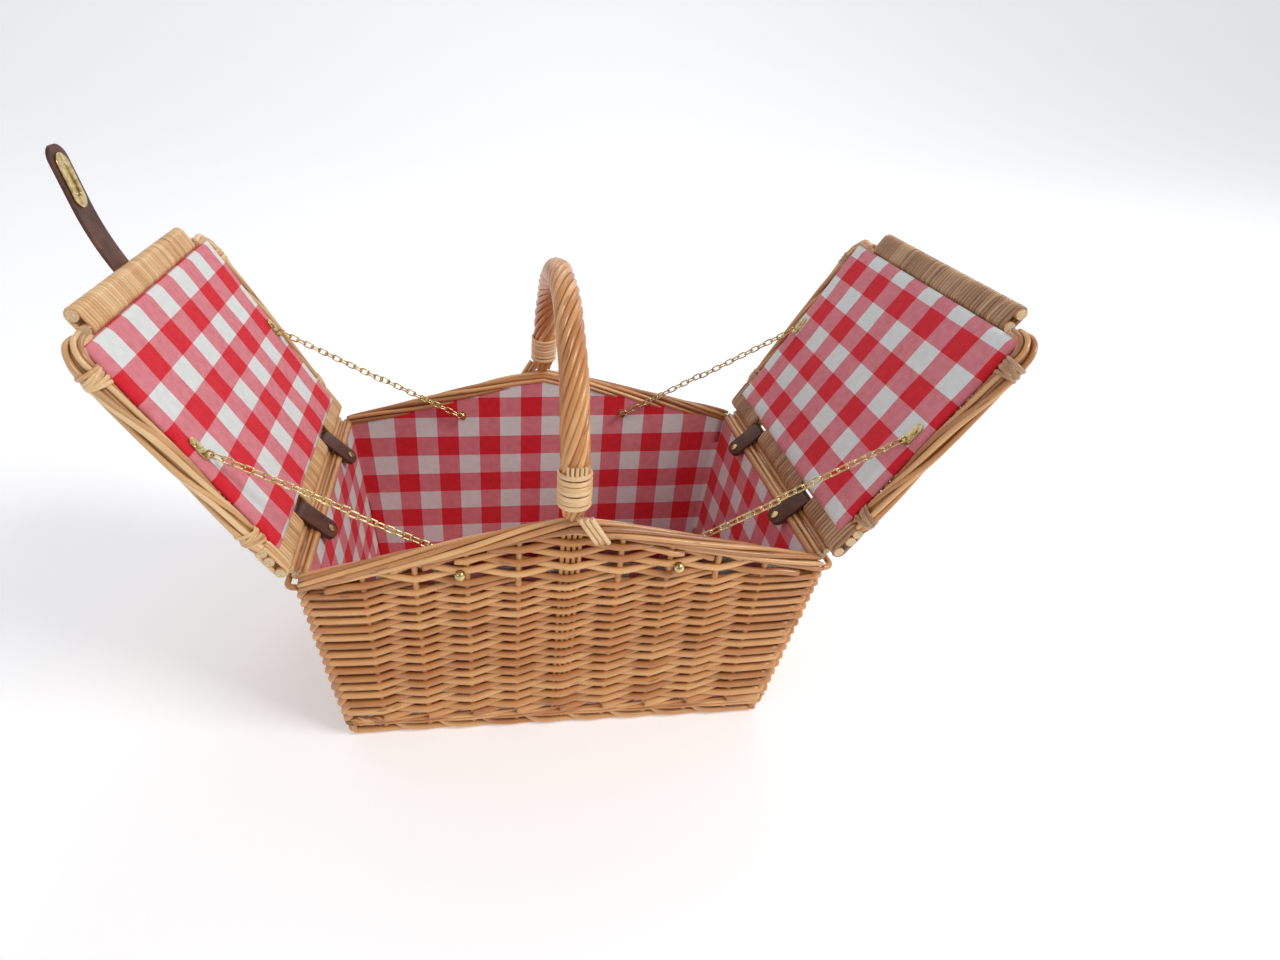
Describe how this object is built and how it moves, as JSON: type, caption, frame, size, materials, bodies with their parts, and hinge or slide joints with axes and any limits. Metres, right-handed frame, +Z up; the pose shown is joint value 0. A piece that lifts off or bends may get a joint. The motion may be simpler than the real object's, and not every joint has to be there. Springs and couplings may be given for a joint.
{
  "type": "wicker picnic basket",
  "caption": "Rectangular willow picnic basket with a gabled rim, hoop handle, two cloth-lined lids that hinge at the ends on leather straps, stay chains and a turn lock.",
  "frame": {"origin": "centre of the flat underside of the base", "axes": "+X along the basket's length towards the right lid, +Y across it towards the back, +Z up; both lids stand open at rest"},
  "size_m": [0.6361, 0.2732, 0.4508],
  "materials": {
    "willow": "varnished honey-tan willow rods",
    "pale_cane": "split willow skein, satin varnish",
    "brown_cane": "darker split willow skein, satin varnish",
    "gingham_cloth": "red and white gingham cotton, plain weave",
    "leather": "dark brown strap leather with waxed edges",
    "brass": "polished"
  },
  "bodies": {
    "basket": {"back_rim": "willow", "back_wall": "willow", "base_sticks": "willow", "base_wale": "willow", "base_weave": "willow", "body_lining": "gingham_cloth", "corner_loops": "willow", "corner_posts": "willow", "end_rims": "willow", "end_stakes": "willow", "foot_border": "willow", "front_rim": "willow", "front_wall": "willow", "handle_bindings": "pale_cane", "handle_core": "willow", "handle_tails": "willow", "handle_twist": "willow", "hinge_rivets": "brass", "left_hinge_straps": "leather", "left_wall": "willow", "long_stakes": "willow", "right_hinge_straps": "leather", "right_wall": "willow", "wall_studs": "brass"},
    "left_lid": {"closing_rivets": "brass", "closing_strap_base": "leather", "left_lid_bindings": "pale_cane", "left_lid_borders": "willow", "left_lid_chain_tabs": "brass", "left_lid_hinge_sticks": "willow", "left_lid_hinge_wrap": "pale_cane", "left_lid_lining": "gingham_cloth", "left_lid_lip_sticks": "willow", "left_lid_lip_wrap": "pale_cane", "left_lid_stakes": "willow", "left_lid_weave": "willow"},
    "right_lid": {"lock_plate": "brass", "lock_screws": "brass", "right_lid_bindings": "brown_cane", "right_lid_borders": "willow", "right_lid_chain_tabs": "brass", "right_lid_hinge_sticks": "willow", "right_lid_hinge_wrap": "brown_cane", "right_lid_lining": "gingham_cloth", "right_lid_lip_sticks": "willow", "right_lid_lip_wrap": "brown_cane", "right_lid_stakes": "willow", "right_lid_weave": "willow"},
    "closing_strap": {"closing_strap": "leather", "eyelet_plate": "brass"},
    "turn_staple": {"turn_staple": "brass"},
    "left_back_chain_lid": {"left_back_chain_lid": "brass"},
    "left_back_chain_wall": {"left_back_chain_wall": "brass"},
    "left_front_chain_lid": {"left_front_chain_lid": "brass"},
    "left_front_chain_wall": {"left_front_chain_wall": "brass"},
    "right_back_chain_lid": {"right_back_chain_lid": "brass"},
    "right_back_chain_wall": {"right_back_chain_wall": "brass"},
    "right_front_chain_lid": {"right_front_chain_lid": "brass"},
    "right_front_chain_wall": {"right_front_chain_wall": "brass"}
  },
  "joints": [
    {"name": "left_lid_hinge", "type": "hinge", "parent": "basket", "child": "left_lid", "pos_m": [-0.204, 0, 0.1975], "axis": [0, 1, 0], "range_deg": [0, 105.1]},
    {"name": "right_lid_hinge", "type": "hinge", "parent": "basket", "child": "right_lid", "pos_m": [0.204, 0, 0.1975], "axis": [0, -1, 0], "range_deg": [0, 105.1]},
    {"name": "closing_strap_bend", "type": "hinge", "parent": "left_lid", "child": "closing_strap", "pos_m": [-0.30862, 0, 0.37366], "axis": [0, 1, 0], "range_deg": [-100, 9]},
    {"name": "staple_turn", "type": "hinge", "parent": "right_lid", "child": "turn_staple", "pos_m": [0.28574, 0, 0.33547], "axis": [0.8746, 0, -0.4848], "range_deg": [0, 90]},
    {"name": "left_front_chain_wall_swing", "type": "hinge", "parent": "basket", "child": "left_front_chain_wall", "pos_m": [-0.08, -0.11, 0.192], "axis": [-0.0418, -0.9977, -0.0538], "range_deg": [0, 97.87]},
    {"name": "left_front_chain_lid_swing", "type": "hinge", "parent": "left_lid", "child": "left_front_chain_lid", "pos_m": [-0.2383, -0.106, 0.2831], "axis": [0.0583, -0.9908, 0.1217], "range_deg": [0, 45.72]},
    {"name": "left_back_chain_wall_swing", "type": "hinge", "parent": "basket", "child": "left_back_chain_wall", "pos_m": [-0.08, 0.11, 0.192], "axis": [0.0418, -0.9977, 0.0538], "range_deg": [0, 97.87]},
    {"name": "left_back_chain_lid_swing", "type": "hinge", "parent": "left_lid", "child": "left_back_chain_lid", "pos_m": [-0.2383, 0.106, 0.2831], "axis": [-0.0583, -0.9908, -0.1217], "range_deg": [0, 45.72]},
    {"name": "right_front_chain_wall_swing", "type": "hinge", "parent": "basket", "child": "right_front_chain_wall", "pos_m": [0.08, -0.11, 0.192], "axis": [-0.0418, 0.9977, 0.0538], "range_deg": [0, 97.87]},
    {"name": "right_front_chain_lid_swing", "type": "hinge", "parent": "right_lid", "child": "right_front_chain_lid", "pos_m": [0.2383, -0.106, 0.2831], "axis": [0.0583, 0.9908, -0.1217], "range_deg": [0, 45.72]},
    {"name": "right_back_chain_wall_swing", "type": "hinge", "parent": "basket", "child": "right_back_chain_wall", "pos_m": [0.08, 0.11, 0.192], "axis": [0.0418, 0.9977, -0.0538], "range_deg": [0, 97.87]},
    {"name": "right_back_chain_lid_swing", "type": "hinge", "parent": "right_lid", "child": "right_back_chain_lid", "pos_m": [0.2383, 0.106, 0.2831], "axis": [-0.0583, 0.9908, 0.1217], "range_deg": [0, 45.72]}
  ],
  "couplings": [
    {"joint": "left_front_chain_wall_swing", "follows": "left_lid_hinge", "ratio": 0.9312},
    {"joint": "left_front_chain_lid_swing", "follows": "left_lid_hinge", "ratio": 0.43501},
    {"joint": "left_back_chain_wall_swing", "follows": "left_lid_hinge", "ratio": 0.9312},
    {"joint": "left_back_chain_lid_swing", "follows": "left_lid_hinge", "ratio": 0.43501},
    {"joint": "right_front_chain_wall_swing", "follows": "right_lid_hinge", "ratio": 0.9312},
    {"joint": "right_front_chain_lid_swing", "follows": "right_lid_hinge", "ratio": 0.43501},
    {"joint": "right_back_chain_wall_swing", "follows": "right_lid_hinge", "ratio": 0.9312},
    {"joint": "right_back_chain_lid_swing", "follows": "right_lid_hinge", "ratio": 0.43501}
  ]
}
